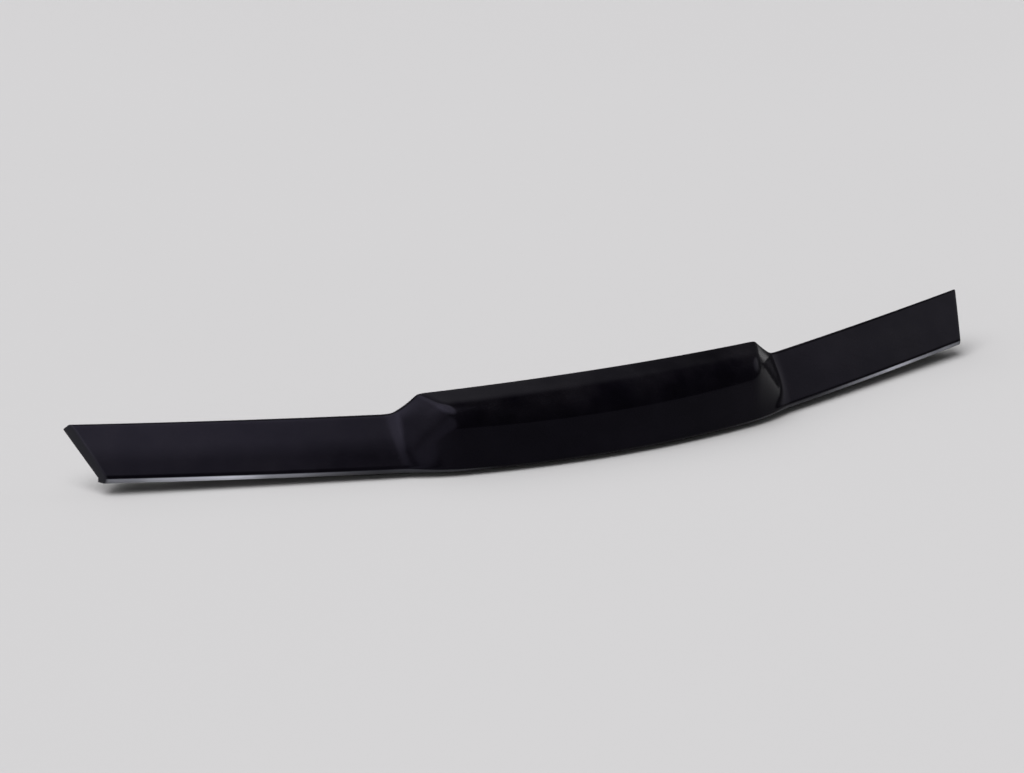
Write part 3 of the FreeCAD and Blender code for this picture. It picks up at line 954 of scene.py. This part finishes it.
class DEFLECTOR_OT_screws(bpy.types.Operator):
    """Turns the screws: a domed head with a cross recess, and a real thread"""

    bl_idname = "deflector.screws"
    bl_label = "Screws"

    def execute(self, context):
        head = self.head(fixings())
        shank = self.shank(fixings())
        activate(head)
        shank.select_set(True)
        bpy.ops.object.join()
        smooth(head, SCREW_SMOOTH_DEGREES)
        for i in FIXINGS:
            self.copy(head, i)
        bpy.data.objects.remove(head)
        return {"FINISHED"}

    def head(self, f):
        """Domed head below its seat at the origin, turned from its outline."""
        ball = (f.head_radius ** 2 + f.head_height ** 2) / (2 * f.head_height)
        lean = math.asin(f.head_radius / ball)
        turns = [lean * step / DOME_STEPS for step in range(1, DOME_STEPS)]
        dome = [(ball * math.sin(turn), ball * (1 - math.cos(turn)) - f.head_height) for turn in turns]
        rim = [(f.head_radius, -f.head_rim), (f.head_radius, -f.turned_edge),
               (f.head_radius - f.turned_edge, 0.0)]
        obj = self.lathe("screw_head", [(0.0, -f.head_height)] + dome + rim + [(0.0, 0.0)], HEAD_SIDES)
        edit(obj, merge, outwards)
        arm = Vector((2 * f.recess_radius, f.recess_width, 2 * f.recess_depth))
        for size in (arm, Vector((arm.y, arm.x, arm.z))):
            deselect()
            bpy.ops.mesh.primitive_cube_add(size=1.0, location=(0, 0, -f.head_height), scale=size)
            cutter = bpy.context.object
            settle(cutter)
            self.taper(cutter, size, f.recess_taper)
            finish_with(obj, "BOOLEAN", operation="DIFFERENCE", object=cutter, solver="EXACT")
            bpy.data.objects.remove(cutter)
        return obj

    @staticmethod
    def taper(cutter, size, share):
        """Draws in the inner end of a recess arm."""
        top = max(v.co.z for v in cutter.data.vertices)
        for vertex in cutter.data.vertices:
            if vertex.co.z > top - size.z / 4:
                vertex.co.x *= share
                vertex.co.y *= share

    def shank(self, f):
        """Threaded shank above the seat, its helix trimmed flat at the tip."""
        turns = math.ceil(f.shank_length / f.thread_pitch) + 1
        root = f.screw_radius - f.thread_depth
        pitch = f.thread_pitch
        outline = [(f.screw_radius if crest else root, (share - 1) * pitch)
                   for share, crest in THREAD_OUTLINE]
        obj = self.lathe("shank", outline, THREAD_STEPS, screw_offset=pitch, iterations=turns)
        edit(obj, merge, lambda: self.trim(f.shank_length, True), lambda: self.trim(0.0, False), outwards)
        return obj

    @staticmethod
    def trim(height, upper):
        bpy.ops.mesh.bisect(plane_co=(0, 0, height), plane_no=(0, 0, 1), use_fill=True,
                            clear_outer=upper, clear_inner=not upper)

    @staticmethod
    def lathe(name, outline, steps, **values):
        """Turns an open line of points, each given by its radius and height."""
        mesh = bpy.data.meshes.new(name)
        mesh.from_pydata([(r, 0, z) for r, z in outline], [(i, i + 1) for i in range(len(outline) - 1)], [])
        obj = bpy.data.objects.new(name, mesh)
        bpy.context.scene.collection.objects.link(obj)
        finish_with(obj, "SCREW", axis="Z", angle=math.tau, steps=steps, render_steps=steps,
                    use_merge_vertices=True, merge_threshold=TURNED_MERGE_REACH, **values)
        return obj

    @staticmethod
    def copy(template, number):
        f = fixings()
        obj = template.copy()
        obj.data = template.data.copy()
        bpy.context.scene.collection.objects.link(obj)
        axis = screw_axis(number)
        seat = washer_centre(number) - axis * (f.washer_wall / 2 + f.seat_gap)
        turn = Matrix.Rotation(f.screw_turn * number, 4, "Z")
        lean = axis.to_track_quat("Z", "Y").to_matrix().to_4x4()
        obj.data.transform(Matrix.Translation(seat) @ lean @ turn)
        take(obj, f"machine_screw_{number}", f"screw_{number}", finishes()["bright_steel"])


# Soft lights round the object: how far each stands to the right of straight ahead, how high, how wide
# its full light and its faded edge reach, all in degrees, and its radiance
SOFT_LIGHTS = {
    "key": (-60.0, 66.0, 18.0, 34.0, 4.8),
    "left": (-88.0, 32.0, 10.0, 40.0, 1.5),
    "right": (85.0, 24.0, 6.0, 22.0, 1.2),
    "rear": (-175.0, 50.0, 10.0, 38.0, 0.95),
    "low": (-38.0, 12.0, 3.0, 22.0, 1.4),
}

# Where the camera stands and looks, its sensor's width in millimetres and how far it sees in metres
CAMERA_PLACE = Vector((-1.2529, -2.3092, 0.8674))
CAMERA_TARGET = Vector((-0.0762, 0.0506, 0.0552))
SENSOR_WIDTH = 36.0
VIEW_END = 100.0

# How far the floor lies below the part, and how much lighter its faint clouds are
FLOOR_GAP = 0.05 * MM
FLOOR_CLOUDS = 1.03


def heading(right, up):
    """Direction at these angles from straight ahead and from level."""
    right, up = math.radians(right), math.radians(up)
    return Vector((math.sin(right) * math.cos(up), -math.cos(right) * math.cos(up), math.sin(up)))


class DEFLECTOR_OT_stage(bpy.types.Operator):
    """Sets the floor, the studio's soft light and the camera"""

    bl_idname = "deflector.stage"
    bl_label = "Stage"

    def execute(self, context):
        stage = context.scene.deflector_stage
        self.floor(stage)
        self.studio(stage)
        self.camera(stage)
        context.scene.view_settings.view_transform = "Standard"
        return {"FINISHED"}

    def floor(self, stage):
        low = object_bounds()[0].z - FLOOR_GAP
        deselect()
        bpy.ops.mesh.primitive_plane_add(size=stage.floor_reach, location=(0, 0, low))
        obj = bpy.context.object
        obj.name = "floor"
        settle(obj)
        finish = Finish("stage_floor")
        cloud = noise(finish.tree, finish.place, scale=0.8, detail=2.0)
        paler = [min(1.0, value * FLOOR_CLOUDS) for value in tones().floor]
        finish.feed("Base Color", blend_colours(finish.tree, cloud, tones().floor, paler))
        finish.feed("Roughness", 0.85)
        finish.feed("Specular IOR Level", 0.1)
        obj.data.materials.append(finish.material)
        obj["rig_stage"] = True

    def studio(self, stage):
        """Plain light all round, with soft lights that fade into it, as in a tent."""
        world = bpy.data.worlds.new("studio")
        bpy.context.scene.world = world
        world.use_nodes = True
        tree = world.node_tree
        tree.nodes.clear()
        way = add(tree, "ShaderNodeTexCoord").outputs["Generated"]
        total = stage.room_light
        for right, height, full, fade, radiance in SOFT_LIGHTS.values():
            towards = add(tree, "ShaderNodeVectorMath", {0: way, 1: heading(right, height)},
                          operation="DOT_PRODUCT").outputs["Value"]
            low, high = math.cos(math.radians(fade)), math.cos(math.radians(full))
            share = ramp(tree, towards, low, high, kind="SMOOTHSTEP")
            total = maths(tree, "ADD", total, product(tree, share, radiance))
        light = add(tree, "ShaderNodeBackground", {"Color": tones().studio, "Strength": total})
        add(tree, "ShaderNodeOutputWorld", {"Surface": light.outputs[0]})

    def camera(self, stage):
        data = bpy.data.cameras.new("camera")
        data.lens = stage.lens
        data.sensor_width = SENSOR_WIDTH
        data.clip_end = VIEW_END
        obj = bpy.data.objects.new("camera", data)
        bpy.context.scene.collection.objects.link(obj)
        obj.location = CAMERA_PLACE
        level = (CAMERA_TARGET - CAMERA_PLACE).to_track_quat("-Z", "Y").to_matrix().to_4x4()
        obj.rotation_euler = (level @ Matrix.Rotation(stage.roll, 4, "Z")).to_euler()
        bpy.context.scene.camera = obj


class DEFLECTOR_PT_panel(bpy.types.Panel):
    """Lists the steps that dress the deflector"""

    bl_idname = "DEFLECTOR_PT_panel"
    bl_label = "Deflector"
    bl_space_type = "VIEW_3D"
    bl_region_type = "UI"
    bl_category = "Deflector"

    def draw(self, context):
        for step in STEPS:
            self.layout.operator(step.bl_idname)
        for name, group in GROUPS.items():
            box = self.layout.box()
            for key in group.__annotations__:
                box.prop(getattr(context.scene, name), key)


STEPS = (DEFLECTOR_OT_shield, DEFLECTOR_OT_clips, DEFLECTOR_OT_nuts, DEFLECTOR_OT_screws,
         DEFLECTOR_OT_bumpers, DEFLECTOR_OT_stage)
GROUPS = {"deflector_shield": ShieldSizes, "deflector_fixings": FixingSizes, "deflector_tones": FinishColours,
          "deflector_stage": StageSettings}


def register():
    for cls in (*GROUPS.values(), *STEPS, DEFLECTOR_PT_panel):
        bpy.utils.register_class(cls)
    for name, group in GROUPS.items():
        setattr(bpy.types.Scene, name, PointerProperty(type=group))


def unregister():
    for name in GROUPS:
        delattr(bpy.types.Scene, name)
    for cls in reversed((*GROUPS.values(), *STEPS, DEFLECTOR_PT_panel)):
        bpy.utils.unregister_class(cls)


def main():
    register()
    for step in STEPS:
        category, name = step.bl_idname.split(".")
        getattr(getattr(bpy.ops, category), name)()


if __name__ == "__main__":
    main()
